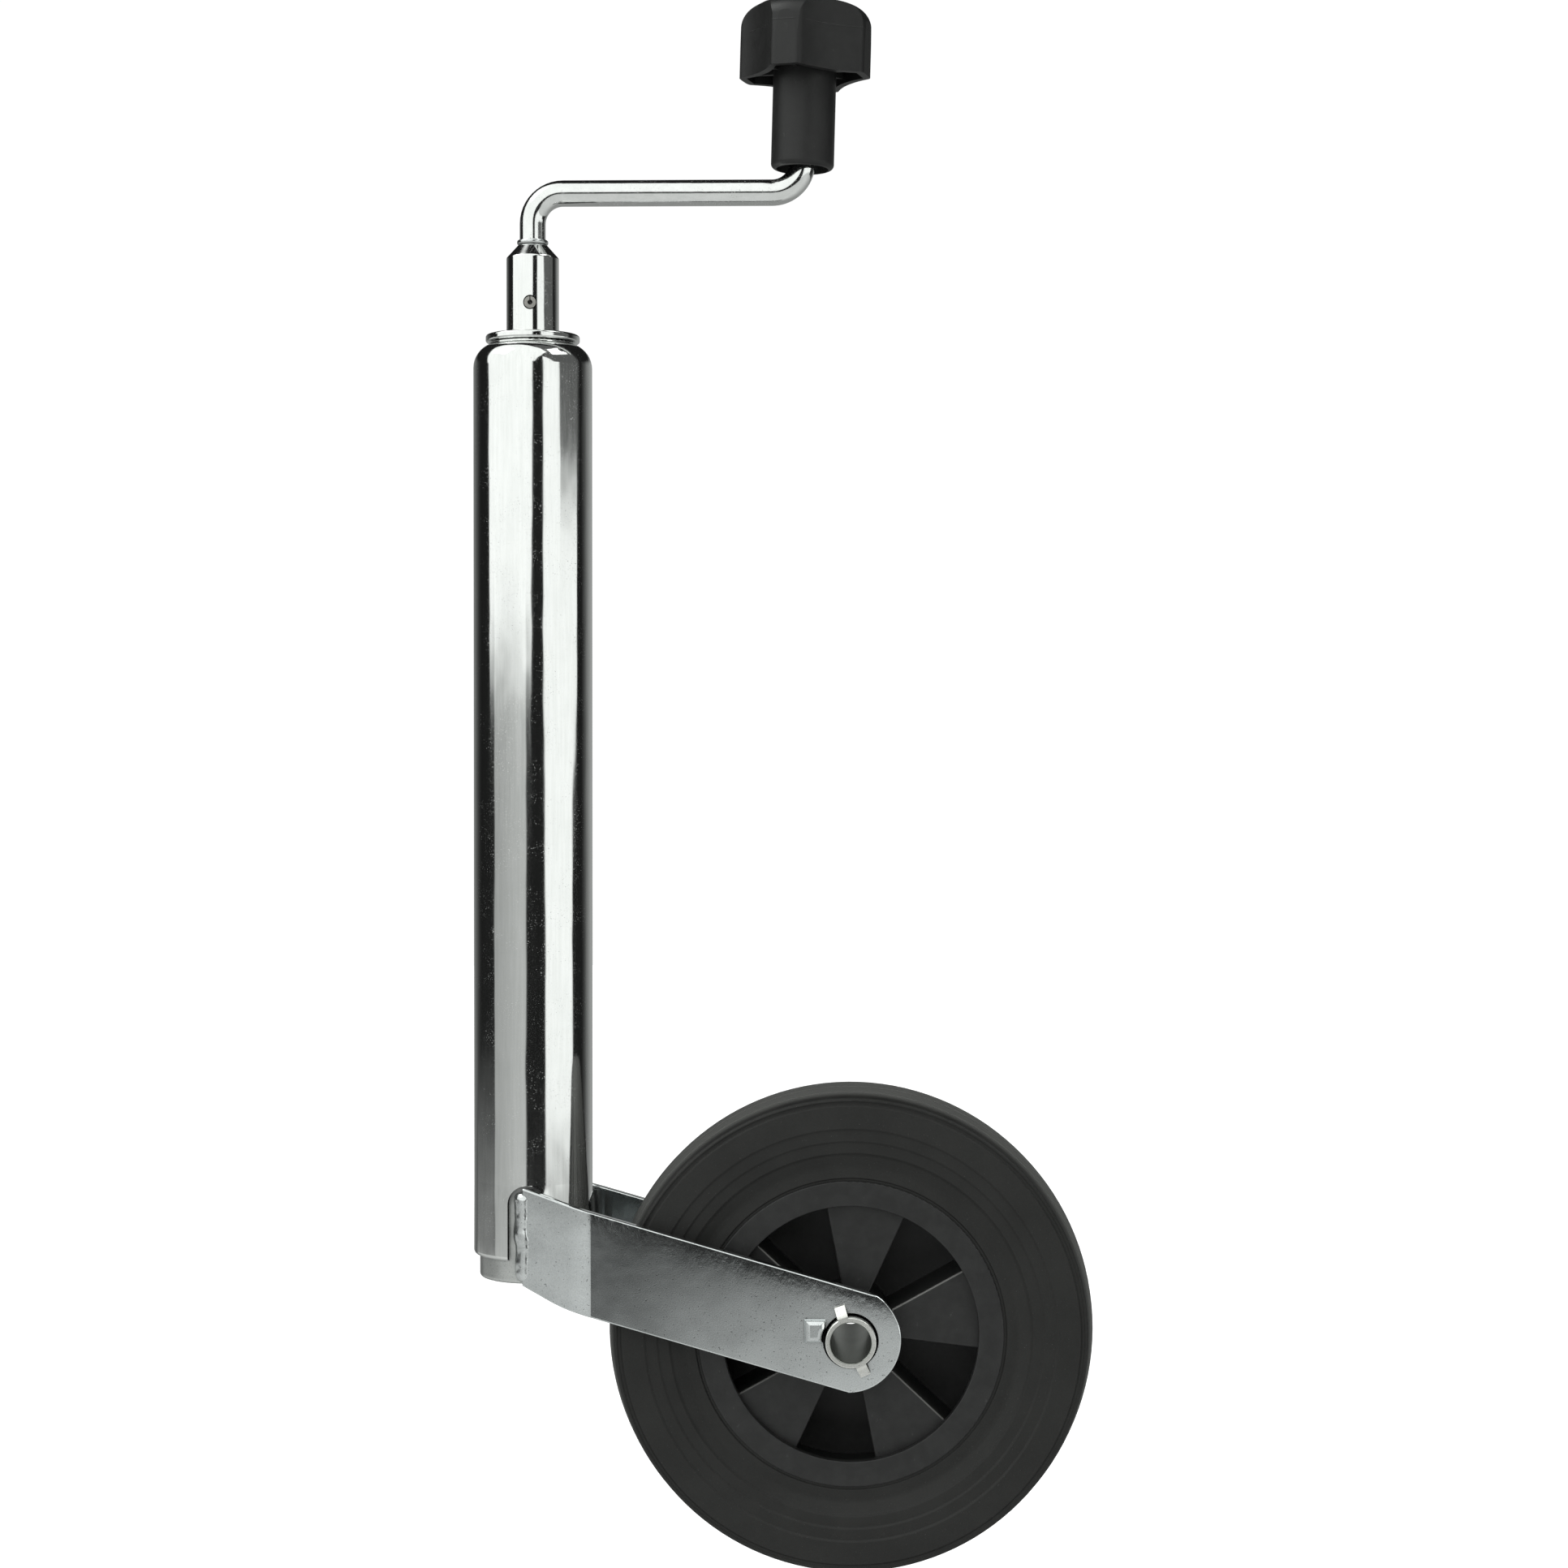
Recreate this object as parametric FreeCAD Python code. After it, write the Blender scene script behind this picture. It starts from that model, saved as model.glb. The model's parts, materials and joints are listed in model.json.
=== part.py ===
import FreeCAD, Part
import math
import os

# Trailer tongue jack with a 48 mm clamping tube and a 200 x 50 mm jockey wheel.
# Millimetres. The origin is on the outer tube's axis at the middle of its plain length.
# +Z runs up the tube to the crank, +X out to the wheel, and the wheel's axle lies along Y.

V = FreeCAD.Vector
ORIGIN = V(0, 0, 0)
ALONG_X, ALONG_Y, ALONG_Z = V(1, 0, 0), V(0, 1, 0), V(0, 0, 1)
OVERLAP = 1.0  # how far a tool or a joined piece runs past the face that it meets
TINY = 0.1
PARALLEL = 0.99  # cosine of the angle between two directions taken as the same

# outer tube
TUBE_R = 24.0
TUBE_WALL = 2.0
PLAIN_HALF = 178.4
FOOT_ROUND = 1.8
DOME_ROUND = 10.0
DOME_HOLE_R = 8.6
DOME_RIM_R = 17.8
DOME_RIM_HEIGHT = 0.5
SLOT_WIDTH = 16.0
SLOT_HEIGHT = 30.4
FOOT_FLARE = 0.1  # the slotted end is sprung out by this much

# crank bearing under the dome
NECK_R = 8.0
RACE_BORE_R = 9.0
RACE_R = 17.5
RACE_THICK = 2.5
RACE_EDGE = 0.3
SEAT_DROP = 8.0
BALL_R = 2.5
BALL_CIRCLE_R = 13.5
BALL_COUNT = 12
BALL_PLAY = 0.05
CAGE_THICK = 2.4
CAGE_PLAY = 0.3
COLLAR_R = 15.0
COLLAR_HEIGHT = 8.0
COLLAR_EDGE = 0.5
COLLAR_PIN_R = 2.0
COLLAR_PIN_SINK = 0.5

# spindle, its nut and its end stop
THREAD_R = 10.0
THREAD_PLAY = 0.05
SPINDLE_EDGE = 0.6
STROKE = 200.0
STROKE_SPARE = 0.6
NUT_BOTTOM = 115.0
NUT_HEIGHT = 25.0
NUT_EDGE = 0.8
NUT_BORE_EDGE = 0.5
TAIL_R = 6.0
TAIL_LENGTH = 12.4
STOP_R = 18.0
STOP_THICK = 4.0
STOP_EDGE = 0.5
STOP_PIN_R = 2.0
STOP_PIN_LENGTH = 28.0

# cap washer, socket and crank
CAP_R = 19.0
CAP_THICK = 3.0
CAP_EDGE = 0.9
CAP_GAP = 0.3
SOCKET_R = 10.6
SOCKET_LENGTH = 31.2
SOCKET_CONE = 5.5
SOCKET_BORE_DEPTH = 23.8
SOCKET_FOOT_EDGE = 0.3
SOCKET_SHOULDER_ROUND = 1.2
SOCKET_LIP = 0.4
SOCKET_LIP_ROUND = 0.2
SOCKET_PIN_HEIGHT = 12.1
SPRING_PIN_R = 2.4
SPRING_PIN_BORE_R = 1.0
SPRING_PIN_SLIT = 0.35
SPRING_PIN_SINK = 0.35
PIN_HOLE_BEVEL = 0.5
ROD_R = 5.25
ROD_BEND = 12.3
ROD_ROOT_GAP = 0.5
ARM_RISE = 57.5
THROW = 109.0
CRANK_LEAN = 1.5
ROD_WELD_R = 6.3
ROD_WELD_HEIGHT = 1.8
ROD_WELD_ROUND = 0.7

# grip, measured up its own axis from the crank arm's centreline
GRIP_FOOT = 9.3
GRIP_STEM_R = 12.75
GRIP_FOOT_ROUND = 2.0
GRIP_BORE_R = 5.33
GRIP_SLEEVE_R = 7.6
GRIP_SLEEVE_FOOT = 14.0
GRIP_WALL = 2.2
GRIP_CORE_DEPTH = 30.0
HEAD_FOOT = 46.0
HEAD_TOP = 75.0
LOBE_R = 26.3
LOBE_WIDTH = 12.0
LOBE_CORNER = 3.0
LOBE_HOLLOW = 2.75
LOBE_TURN = -17.0
LOBE_COUNT = 4
LOBE_INSET_SHARE = 0.4
LOBE_HOLLOW_CORNER = 1.0
HEAD_ROUND = 8.0
HEAD_CROWN = 1.5
HEAD_DRAFT = 0.6
HEAD_FOOT_ROUND = 0.6
HEAD_WALL = 3.0
HEAD_HOLLOW_TOP = 66.0
WEB_THICK = 1.8
WEB_RECESS = 2.0
ROD_TOP = 66.0
RETAINER_FLOOR = 61.0
RETAINER_R = 9.0
RETAINER_THICK = 1.6
RETAINER_EDGE = 0.4
RETAINER_GAP = 0.3
RETAINER_ROOM_R = 10.0
CAP_LEDGE_R = 11.2
GRIP_CAP_THICK = 2.4
GRIP_CAP_CROWN = 0.5
GRIP_CAP_EDGE = 0.3
GRIP_CAP_SINK = 0.3

# leg
LEG_R = 21.7
LEG_WALL = 2.0
LEG_BOTTOM = -189.5
LEG_TOP = 142.2
LEG_FOOT_ROUND = 1.7
LEG_TOP_EDGE = 0.5

# fork, axle and welds
AXLE_X = 128.9
AXLE_Z = -208.8
AXLE_R = 10.0
AXLE_WALL = 2.0
AXLE_HALF = 39.5
AXLE_EDGE = 0.4
TAB_ANGLES = (108.0, -66.0)
TAB_WIDTH = 4.2
TAB_BEND_R = 10.8
TAB_REACH = 14.6
TAB_DROP = 2.9
TAB_THICK = 1.5
TAB_ROUND = 0.8
ARM_SLOPE = 16.0
ARM_HALF_WIDTH = 20.0
ARM_THICK = 4.0
ARM_INNER_Y = 31.0
ARM_START_X = -0.5
ARM_START_GAP = 0.05
ARM_BEND_X = 22.5
ARM_BEND_R = 20.0
ARM_END_R = 20.9
ARM_END_SHIFT = -1.0
ARM_TOP_ROUND = 7.0
ARM_FOOT_ROUND = 60.0
ARM_FOOT_SLOPE = 25.0
ARM_FOOT_RUN = 13.5
ARM_EDGE = 0.6
AXLE_HOLE_R = 11.0
DIMPLE_X = -14.1
DIMPLE_SIZE = (8.4, 9.2)
DIMPLE_HEIGHT = 2.6
DIMPLE_ROUND = 2.3
WELD_INNER = 19.7
WELD_LEFT = -4.3
WELD_RIGHT = 0.6
WELD_OUT = 25.4
WELD_TOP = -153.0
WELD_BOTTOM = -188.5
WELD_ROUND = 1.6

# wheel, with its radii and its distances from the middle plane
HUB_BORE_R = 10.08
HUB_R = 16.5
HUB_HALF = 30.0
HUB_EDGE = 0.8
RIM_R = 61.0
RIM_BAND_R = 56.5
RIM_LIP_R = 51.0
RIM_HALF = 21.8
RIM_LIP_THICK = 4.0
RIM_EDGE = 0.5
RIM_BAND_ROUND = 1.5
PANEL_FACE = 17.5
PANEL_THICK = 3.0
PANEL_COUNT = 5
PANEL_TURN = 83.0
PANEL_ROUND = 0.8
TYRE_R = 97.8
TYRE_EDGE_R = 95.0
TREAD_HALF = 20.0
TREAD_GROOVES = (-16.0, -8.0, 0.0, 8.0, 16.0)
GROOVE_WIDTH = 1.2
GROOVE_DEPTH = 0.9
GROOVE_ROUND = 0.2

# one sidewall of the tyre from the rim out: radius, distance from the middle plane, corner round
TYRE_SIDE = [
    (RIM_R, 20.9, 0),
    (61.9, 20.9, 0.3),
    (62.4, 21.6, 0.3),
    (67.0, 21.2, 4.0),
    (71.6, 23.0, 2.0),
    (72.6, 23.9, 0.4),
    (76.6, 24.1, 0.4),
    (77.4, 24.7, 0.4),
    (81.6, 24.7, 0.4),
    (82.4, 25.3, 0.4),
    (91.2, 24.9, 0.4),
    (91.9, 24.0, 0.3),
    (92.8, 24.1, 0.3),
    (93.4, 24.7, 0.5),
    (94.4, 23.6, 0.8),
    (TYRE_EDGE_R, TREAD_HALF, 0.6),
]

DOME_TOP = PLAIN_HALF + DOME_ROUND
SEAT_Z = DOME_TOP - SEAT_DROP
UPPER_RACE_Z = SEAT_Z - RACE_THICK
BALL_Z = UPPER_RACE_Z - BALL_PLAY - BALL_R
LOWER_RACE_Z = BALL_Z - BALL_R - BALL_PLAY - RACE_THICK
SHOULDER_Z = LOWER_RACE_Z - COLLAR_HEIGHT
CAP_Z = DOME_TOP + CAP_GAP
SOCKET_Z = CAP_Z + CAP_THICK
SOCKET_BORE_TOP = SOCKET_Z + SOCKET_BORE_DEPTH
SOCKET_TOP = SOCKET_Z + SOCKET_LENGTH + SOCKET_CONE
SPRING_PIN_Z = SOCKET_Z + SOCKET_PIN_HEIGHT
ARM_Z = SOCKET_Z + ARM_RISE
STOP_TOP = NUT_BOTTOM - STROKE - STROKE_SPARE
BORE_R = TUBE_R - TUBE_WALL
LEG_BORE_R = LEG_R - LEG_WALL
ARM_OUTER_Y = ARM_INNER_Y + ARM_THICK
RISE = math.tan(math.radians(ARM_SLOPE))
FOOT_Z = -PLAIN_HALF - FOOT_ROUND
COLLAR_MIDDLE_Z = SHOULDER_Z + COLLAR_HEIGHT / 2
STOP_PIN_Z = STOP_TOP - (STOP_THICK + TAIL_LENGTH) / 2
GRIP_LEDGE = HEAD_TOP - GRIP_CAP_SINK - GRIP_CAP_THICK - HEAD_CROWN / 2


def path(points, closed):
    """Edges through (u, v, corner radius) points in the XZ plane."""
    corners = []
    count = len(points)
    for i, (u, v, r) in enumerate(points):
        here = V(u, 0, v)
        if not r or (not closed and i in (0, count - 1)):
            corners.append((here, None, here))
            continue
        before, after = points[i - 1], points[(i + 1) % count]
        back = (V(before[0], 0, before[1]) - here).normalize()
        on = (V(after[0], 0, after[1]) - here).normalize()
        half = back.getAngle(on) / 2
        reach = r / math.tan(half)
        middle = (back + on).normalize() * (r / math.sin(half) - r)
        corners.append((here + back * reach, here + middle, here + on * reach))
    edges = []
    for i, (start, middle, end) in enumerate(corners):
        if middle is not None:
            edges.append(Part.Arc(start, middle, end).toShape())
        if closed or i < count - 1:
            following = corners[(i + 1) % count][0]
            if end.distanceToPoint(following) > 1e-6:
                edges.append(Part.makeLine(end, following))
    return edges


def flat(points):
    """Face in the XZ plane with rounded corners."""
    return Part.Face(Part.Wire(path(points, True)))


def turned(points):
    """Solid turned about Z from (radius, z, corner radius) points."""
    return flat(points).revolve(ORIGIN, ALONG_Z, 360)


def turned_about_y(points):
    """Solid turned about Y from (radius, y, corner radius) points."""
    solid = turned(points)
    solid.rotate(ORIGIN, ALONG_X, -90)
    return solid


def ring(inner, outer, bottom, top, edge=0):
    """Plain or round-edged ring about Z."""
    return turned([
        (inner, bottom, 0),
        (outer, bottom, edge),
        (outer, top, edge),
        (inner, top, 0),
    ])


def pin(radius, length, z):
    """Cylinder along Y, centred on the tube's axis."""
    return Part.makeCylinder(radius, length, V(0, -length / 2, z), ALONG_Y)


def box(x0, x1, y0, y1, z0, z1):
    return Part.makeBox(x1 - x0, y1 - y0, z1 - z0, V(x0, y0, z0))


def joined(shapes):
    first, rest = shapes[0], shapes[1:]
    return first.fuse(rest).removeSplitter()


def save(name, shape):
    shape.exportStep("parts/" + name + ".step")


def outer_tube():
    slot_top = FOOT_Z + SLOT_HEIGHT
    wall = turned([
        (BORE_R + FOOT_FLARE, FOOT_Z, 0),
        (TUBE_R + FOOT_FLARE, FOOT_Z, FOOT_ROUND),
        (TUBE_R, slot_top, 0),
        (TUBE_R, DOME_TOP, DOME_ROUND),
        (DOME_HOLE_R, DOME_TOP, 0),
        (DOME_HOLE_R, DOME_TOP - TUBE_WALL, 0),
        (BORE_R, DOME_TOP - TUBE_WALL, DOME_ROUND - TUBE_WALL),
        (BORE_R, slot_top, 0),
    ])
    rim = ring(DOME_HOLE_R, DOME_RIM_R, DOME_TOP - TUBE_WALL, DOME_TOP, DOME_RIM_HEIGHT)
    half = SLOT_WIDTH / 2
    arch_z = slot_top - half
    slot = box(-half, half, -2 * TUBE_R, 2 * TUBE_R, FOOT_Z - OVERLAP, arch_z)
    arch = pin(half, 4 * TUBE_R, arch_z)
    return joined([wall, rim]).cut([slot, arch])


def bearing_seat():
    return turned([
        (DOME_HOLE_R, SEAT_Z, 0),
        (BORE_R, SEAT_Z, 0),
        (BORE_R, DOME_TOP - TUBE_WALL, DOME_ROUND - TUBE_WALL),
        (DOME_HOLE_R, DOME_TOP - TUBE_WALL, 0),
    ]).common(ring(DOME_HOLE_R, BORE_R, SEAT_Z, DOME_TOP))


def around(shape, count):
    """Copies of a shape spaced evenly about Z."""
    copies = []
    for i in range(count):
        copy = shape.copy()
        copy.rotate(ORIGIN, ALONG_Z, 360 * i / count)
        copies.append(copy)
    return copies


def bearing_balls():
    ball = Part.makeSphere(BALL_R, V(BALL_CIRCLE_R, 0, BALL_Z))
    return Part.makeCompound(around(ball, BALL_COUNT))


def bearing_cage():
    low, high = BALL_Z - CAGE_THICK / 2, BALL_Z + CAGE_THICK / 2
    blank = ring(RACE_BORE_R + CAGE_PLAY, RACE_R, low, high, CAGE_PLAY)
    hole = Part.makeCylinder(BALL_R, CAGE_THICK, V(BALL_CIRCLE_R, 0, low), ALONG_Z)
    return blank.cut(around(hole, BALL_COUNT))


def spindle():
    body = turned([
        (0, STOP_TOP - TAIL_LENGTH, 0),
        (TAIL_R, STOP_TOP - TAIL_LENGTH, SPINDLE_EDGE),
        (TAIL_R, STOP_TOP, 0),
        (THREAD_R, STOP_TOP, 0),
        (THREAD_R, SHOULDER_Z, 0),
        (NECK_R, SHOULDER_Z, 0),
        (NECK_R, SOCKET_BORE_TOP, SPINDLE_EDGE),
        (0, SOCKET_BORE_TOP, 0),
    ])
    return body.cut([
        pin(STOP_PIN_R, STOP_PIN_LENGTH, STOP_PIN_Z),
        pin(COLLAR_PIN_R, 2 * COLLAR_R, COLLAR_MIDDLE_Z),
        pin(SPRING_PIN_R, 2 * SOCKET_R, SPRING_PIN_Z),
    ])


def spindle_collar():
    blank = ring(NECK_R, COLLAR_R, SHOULDER_Z, SHOULDER_Z + COLLAR_HEIGHT, COLLAR_EDGE)
    return blank.cut(pin(COLLAR_PIN_R, 2 * COLLAR_R, COLLAR_MIDDLE_Z))


def collar_pin():
    return pin(COLLAR_PIN_R, 2 * (COLLAR_R - COLLAR_PIN_SINK), COLLAR_MIDDLE_Z)


def crank_socket():
    body = turned([
        (NECK_R, SOCKET_Z, 0),
        (SOCKET_R, SOCKET_Z, SOCKET_FOOT_EDGE),
        (SOCKET_R, SOCKET_Z + SOCKET_LENGTH, SOCKET_SHOULDER_ROUND),
        (ROD_R + SOCKET_LIP, SOCKET_TOP, SOCKET_LIP_ROUND),
        (ROD_R, SOCKET_TOP, 0),
        (ROD_R, SOCKET_BORE_TOP, 0),
        (NECK_R, SOCKET_BORE_TOP, 0),
    ])
    bevels = []
    bevel_depth = 2 * PIN_HOLE_BEVEL + SPRING_PIN_SINK
    for side in (-1, 1):
        bevels.append(Part.makeCone(
            SPRING_PIN_R + PIN_HOLE_BEVEL,
            SPRING_PIN_R,
            bevel_depth,
            V(0, side * SOCKET_R, SPRING_PIN_Z),
            V(0, -side, 0),
        ))
    return body.cut([pin(SPRING_PIN_R, 3 * SOCKET_R, SPRING_PIN_Z)] + bevels)


def crank_spring_pin():
    length = 2 * (SOCKET_R - SPRING_PIN_SINK)
    coil = pin(SPRING_PIN_R, length, SPRING_PIN_Z)
    coil = coil.cut(pin(SPRING_PIN_BORE_R, length, SPRING_PIN_Z))
    slit = box(
        -SPRING_PIN_SLIT / 2,
        SPRING_PIN_SLIT / 2,
        -SOCKET_R,
        SOCKET_R,
        SPRING_PIN_Z,
        SPRING_PIN_Z + 2 * SPRING_PIN_R,
    )
    return coil.cut(slit)


def on_grip_axis(shape):
    """Move a shape from the Z axis to the grip's leaning axis."""
    placed = shape.copy()
    placed.rotate(ORIGIN, ALONG_Y, CRANK_LEAN)
    placed.translate(V(THROW, 0, ARM_Z))
    return placed


def crank_rod():
    lean = math.radians(CRANK_LEAN)
    root_z = SOCKET_BORE_TOP + ROD_ROOT_GAP
    spine = Part.Wire(path([
        (0, root_z, 0),
        (0, ARM_Z, ROD_BEND),
        (THROW, ARM_Z, ROD_BEND),
        (THROW + ROD_TOP * math.sin(lean), ARM_Z + ROD_TOP * math.cos(lean), 0),
    ], False))
    section = Part.Wire(Part.makeCircle(ROD_R, V(0, 0, root_z), ALONG_Z))
    return spine.makePipeShell([section], True, False)


def rod_weld():
    top = SOCKET_TOP + ROD_WELD_HEIGHT
    return ring(ROD_R, ROD_WELD_R, SOCKET_TOP, top, ROD_WELD_ROUND)


def lobed(inset, bottom, top):
    """Prism with the grip head's lobed outline, drawn in by inset."""
    tip = LOBE_R - inset
    half = LOBE_WIDTH / 2 - inset * LOBE_INSET_SHARE
    waist = (tip + half) / 2 - LOBE_HOLLOW / math.sqrt(2)
    edges = []
    for i in range(LOBE_COUNT):
        turn = FreeCAD.Rotation(ALONG_Z, 360 * i / LOBE_COUNT)
        first = turn.multVec(V(tip, -half, bottom))
        last = turn.multVec(V(tip, half, bottom))
        dip = turn.multVec(V(waist, waist, bottom))
        following = turn.multVec(V(half, tip, bottom))
        edges.append(Part.makeLine(first, last))
        edges.append(Part.Arc(last, dip, following).toShape())
    prism = Part.Face(Part.Wire(edges)).extrude(V(0, 0, top - bottom))
    uprights = [
        edge for edge in prism.Edges
        if abs(edge.tangentAt(edge.FirstParameter).z) > PARALLEL
    ]
    solid = prism.makeFillet(max(LOBE_CORNER - inset, LOBE_HOLLOW_CORNER), uprights)
    solid.rotate(ORIGIN, ALONG_Z, LOBE_TURN - 90)
    return solid


def grip():
    stem = turned([
        (0, GRIP_FOOT, 0),
        (GRIP_STEM_R, GRIP_FOOT, GRIP_FOOT_ROUND),
        (GRIP_STEM_R, HEAD_TOP - HEAD_ROUND, 0),
        (0, HEAD_TOP - HEAD_ROUND, 0),
    ])
    envelope = turned([
        (0, HEAD_FOOT, 0),
        (LOBE_R + HEAD_DRAFT, HEAD_FOOT, HEAD_FOOT_ROUND),
        (LOBE_R, HEAD_TOP - HEAD_CROWN, HEAD_ROUND),
        (0, HEAD_TOP, 0),
    ])
    head = lobed(0, HEAD_FOOT, HEAD_TOP).common(envelope)
    hollow = lobed(HEAD_WALL, HEAD_FOOT - OVERLAP, HEAD_HOLLOW_TOP)
    hollow = hollow.cut(Part.makeCylinder(GRIP_STEM_R, HEAD_TOP))
    webs = []
    for i in range(LOBE_COUNT * 2):
        web = box(
            0,
            2 * LOBE_R,
            -WEB_THICK / 2,
            WEB_THICK / 2,
            HEAD_FOOT + WEB_RECESS,
            HEAD_TOP,
        )
        web.rotate(ORIGIN, ALONG_Z, LOBE_TURN + 180 * i / LOBE_COUNT)
        webs.append(web)
    hollow = hollow.cut(webs)
    core = ring(
        GRIP_SLEEVE_R,
        GRIP_STEM_R - GRIP_WALL,
        GRIP_FOOT - OVERLAP,
        GRIP_FOOT + GRIP_CORE_DEPTH,
    )
    ribs = []
    for i in range(LOBE_COUNT):
        rib = box(
            0,
            GRIP_STEM_R,
            -WEB_THICK / 2,
            WEB_THICK / 2,
            GRIP_SLEEVE_FOOT,
            HEAD_TOP,
        )
        rib.rotate(ORIGIN, ALONG_Z, 90 * i + 45)
        ribs.append(rib)
    mouth = Part.makeCylinder(GRIP_SLEEVE_R, GRIP_SLEEVE_FOOT)
    bore = Part.makeCylinder(GRIP_BORE_R, HEAD_TOP)
    room = Part.makeCylinder(RETAINER_ROOM_R, HEAD_TOP, V(0, 0, RETAINER_FLOOR))
    ledge = Part.makeCylinder(CAP_LEDGE_R, HEAD_TOP, V(0, 0, GRIP_LEDGE))
    body = joined([stem, head])
    return body.cut([core.cut(ribs), mouth, bore, room, ledge, hollow])


def grip_cap():
    middle_top = GRIP_LEDGE + GRIP_CAP_THICK
    return turned([
        (0, GRIP_LEDGE, 0),
        (CAP_LEDGE_R, GRIP_LEDGE, 0),
        (CAP_LEDGE_R, middle_top - GRIP_CAP_CROWN, GRIP_CAP_EDGE),
        (0, middle_top, 0),
    ])


def grip_retainer():
    foot = RETAINER_FLOOR + RETAINER_GAP
    return ring(ROD_R, RETAINER_R, foot, foot + RETAINER_THICK, RETAINER_EDGE)


def inner_tube():
    return turned([
        (LEG_BORE_R, LEG_BOTTOM, 0),
        (LEG_R, LEG_BOTTOM, LEG_FOOT_ROUND),
        (LEG_R, LEG_TOP, LEG_TOP_EDGE),
        (LEG_BORE_R, LEG_TOP, 0),
    ])


def spindle_nut():
    bore = THREAD_R + THREAD_PLAY
    return turned([
        (bore, NUT_BOTTOM, NUT_BORE_EDGE),
        (LEG_BORE_R, NUT_BOTTOM, NUT_EDGE),
        (LEG_BORE_R, NUT_BOTTOM + NUT_HEIGHT, NUT_EDGE),
        (bore, NUT_BOTTOM + NUT_HEIGHT, NUT_BORE_EDGE),
    ])


def arm_plan():
    """The bent plate seen from above, on the +Y side, as a tall solid."""
    run = ARM_BEND_X - ARM_START_X
    start_y = math.sqrt(LEG_R ** 2 - ARM_START_X ** 2) + ARM_START_GAP
    angle = math.atan2(ARM_INNER_Y - start_y, run)
    outward = V(-math.sin(angle), math.cos(angle), 0) * ARM_THICK
    far_x = AXLE_X + 2 * ARM_END_R
    outer_bend_x = ARM_BEND_X - ARM_THICK * math.tan(angle / 2)
    outline = path([
        (ARM_START_X, start_y, 0),
        (ARM_BEND_X, ARM_INNER_Y, ARM_BEND_R),
        (far_x, ARM_INNER_Y, 0),
        (far_x, ARM_OUTER_Y, 0),
        (outer_bend_x, ARM_OUTER_Y, ARM_BEND_R + ARM_THICK),
        (ARM_START_X + outward.x, start_y + outward.y, ARM_EDGE),
    ], True)
    face = Part.Face(Part.Wire(outline))
    face.rotate(ORIGIN, ALONG_X, -90)
    face.translate(V(0, 0, AXLE_Z - 2 * ARM_END_R))
    return face.extrude(V(0, 0, 6 * ARM_END_R))


def arm_side():
    """The arm seen from the side, as a solid across the whole fork."""
    half = ARM_HALF_WIDTH / math.cos(math.radians(ARM_SLOPE))

    def middle_z(x):
        return AXLE_Z + (AXLE_X - x) * RISE

    left_x = -ARM_HALF_WIDTH
    right_x = AXLE_X + 2 * ARM_END_R
    corner_x = ARM_FOOT_RUN
    corner_z = middle_z(corner_x) - half
    foot_rise = (corner_x - left_x) * math.tan(math.radians(ARM_FOOT_SLOPE))
    strip = flat([
        (left_x, corner_z + foot_rise, 0),
        (corner_x, corner_z, ARM_FOOT_ROUND),
        (right_x, middle_z(right_x) - half, 0),
        (right_x, middle_z(right_x) + half, 0),
        (left_x, middle_z(left_x) + half, 0),
    ])
    end_x = AXLE_X + ARM_END_SHIFT
    round_end = Part.makeCylinder(
        ARM_END_R, 1, V(end_x, 0, middle_z(end_x)), ALONG_Y,
    )
    root = flat([
        (left_x, AXLE_Z - 2 * ARM_END_R, 0),
        (end_x, AXLE_Z - 2 * ARM_END_R, 0),
        (end_x, AXLE_Z + 6 * ARM_END_R, 0),
        (left_x, AXLE_Z + 6 * ARM_END_R, 0),
    ]).extrude(ALONG_Y)
    side = strip.extrude(ALONG_Y).common(root.fuse(round_end))
    side = side.removeSplitter()
    corner = None
    for edge in side.Edges:
        middle = edge.CenterOfMass
        upright = abs(edge.tangentAt(edge.FirstParameter).y) > PARALLEL
        if upright and middle.x > AXLE_X and middle.z > AXLE_Z:
            if corner is None or middle.z > corner.CenterOfMass.z:
                corner = edge
    side = side.makeFillet(ARM_TOP_ROUND, [corner])
    scaled = FreeCAD.Matrix()
    scaled.scale(1, 4 * ARM_OUTER_Y, 1)
    side = side.transformGeometry(scaled)
    side.translate(V(0, -2 * ARM_OUTER_Y, 0))
    return side


def fork_arm():
    """The arm on the +Y side."""
    plate = arm_plan().common(arm_side())
    plate = plate.makeFillet(ARM_EDGE, [
        edge for edge in plate.Edges
        if edge.BoundBox.YLength < ARM_THICK - TINY and edge.BoundBox.XMax > WELD_RIGHT
    ])
    hole = Part.makeCylinder(
        AXLE_HOLE_R, 2 * ARM_OUTER_Y, V(AXLE_X, 0, AXLE_Z), ALONG_Y,
    )
    plate = plate.cut(hole)
    width, height = DIMPLE_SIZE
    centre_x = AXLE_X + DIMPLE_X
    centre_z = AXLE_Z - DIMPLE_X * RISE
    bump = box(
        centre_x - width / 2,
        centre_x + width / 2,
        ARM_OUTER_Y - ARM_THICK / 2,
        ARM_OUTER_Y + DIMPLE_HEIGHT,
        centre_z - height / 2,
        centre_z + height / 2,
    )
    bump = bump.cut(hole)
    outer_edges = [
        edge for edge in bump.Edges
        if edge.BoundBox.YMin > ARM_OUTER_Y
    ]
    bump = bump.makeFillet(DIMPLE_ROUND, outer_edges)
    return joined([plate, bump])


def mirrored(shape):
    return shape.mirror(ORIGIN, ALONG_Y)


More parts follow.
